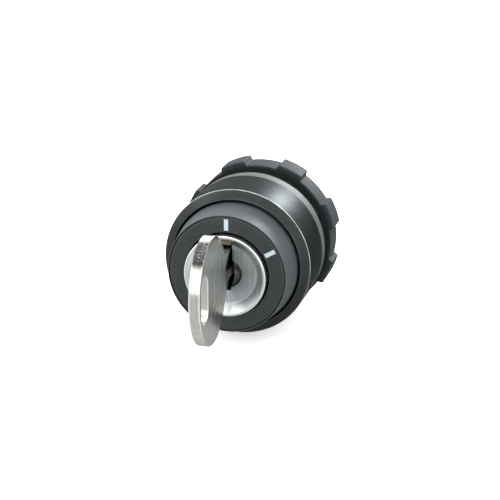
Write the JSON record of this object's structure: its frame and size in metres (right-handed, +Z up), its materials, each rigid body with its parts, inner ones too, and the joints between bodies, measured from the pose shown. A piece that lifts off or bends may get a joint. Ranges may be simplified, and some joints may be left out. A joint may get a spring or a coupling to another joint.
{
  "type": "selector key switch",
  "caption": "Key-operated panel selector switch: chrome dished lock face in a round grey bezel, key in the lock, threaded neck and lugged ring nut.",
  "frame": {"origin": "centre of the panel hole, in the plane of the panel's front face (the gasket's rear face)", "axes": "+Y along the switch's axis to the rear, the key side faces -Y, +Z up (the key's first position)"},
  "size_m": [0.0322, 0.0603, 0.0322],
  "materials": {
    "zinc_body": "satin cast metal",
    "bezel_metal": "dark gunmetal, fine turned finish",
    "collar_plastic": "mid grey, matte",
    "index_plastic": "dark grey, matte",
    "mark_white": "white",
    "seal_rubber": "black",
    "barrel_metal": "machined",
    "spring_steel": "bright",
    "guide_plastic": "black",
    "cap_chrome": "satin chrome",
    "lock_brass": "machined",
    "key_nickel": "nickel plate, brushed",
    "plunger_plastic": "natural",
    "nut_plastic": "blue-grey, matte"
  },
  "bodies": {
    "body": {"housing": "zinc_body", "bezel_shroud": "bezel_metal", "front_collar": "collar_plastic", "index_ring": "index_plastic", "position_marks": "mark_white", "face_seal": "seal_rubber", "collar_o_ring": "seal_rubber", "lock_barrel": "barrel_metal", "barrel_clip": "spring_steel", "panel_gasket": "seal_rubber", "rear_guide": "guide_plastic"},
    "plug": {"face_cap": "cap_chrome", "slot_pointer": "lock_brass", "lock_plug": "lock_brass", "wafer_tumblers": "lock_brass", "wafer_springs": "spring_steel", "plug_clip": "spring_steel", "drive_cam": "guide_plastic", "cam_washer": "spring_steel", "cam_screw": "spring_steel"},
    "key_blade": {"key": "key_nickel"},
    "left_plunger": {"plunger_left": "plunger_plastic", "plunger_spring_left": "spring_steel"},
    "right_plunger": {"plunger_right": "plunger_plastic", "plunger_spring_right": "spring_steel"},
    "washer": {"lock_washer": "spring_steel"},
    "nut": {"mounting_nut": "nut_plastic"}
  },
  "joints": [
    {"name": "plug_turn", "type": "hinge", "parent": "body", "child": "plug", "pos_m": [0, 0, 0], "axis": [0, 1, 0], "range_deg": [0, 60]},
    {"name": "key_withdraw", "type": "slide", "parent": "plug", "child": "key_blade", "axis": [0, -1, 0], "range_m": [0, 0.028]},
    {"name": "plunger_left_slide", "type": "slide", "parent": "body", "child": "left_plunger", "axis": [0, 1, 0], "range_m": [0, 0.003], "deforming": ["plunger_spring_left"]},
    {"name": "plunger_right_slide", "type": "slide", "parent": "body", "child": "right_plunger", "axis": [0, 1, 0], "range_m": [0, 0.003], "deforming": ["plunger_spring_right"]},
    {"name": "washer_slide", "type": "slide", "parent": "body", "child": "washer", "axis": [0, 1, 0], "range_m": [-0.001, 0.006]},
    {"name": "nut_turn", "type": "hinge", "parent": "washer", "child": "nut", "pos_m": [0, 0.00543, 0], "axis": [0, 1, 0], "range_deg": [-240, 1440]}
  ],
  "couplings": [
    {"joint": "plunger_left_slide", "follows": "plug_turn", "m_per_rad": 0.0028648},
    {"joint": "plunger_right_slide", "follows": "plug_turn", "m_per_rad": 0.0028648},
    {"joint": "washer_slide", "follows": "nut_turn", "m_per_rad": 0.00023873}
  ]
}
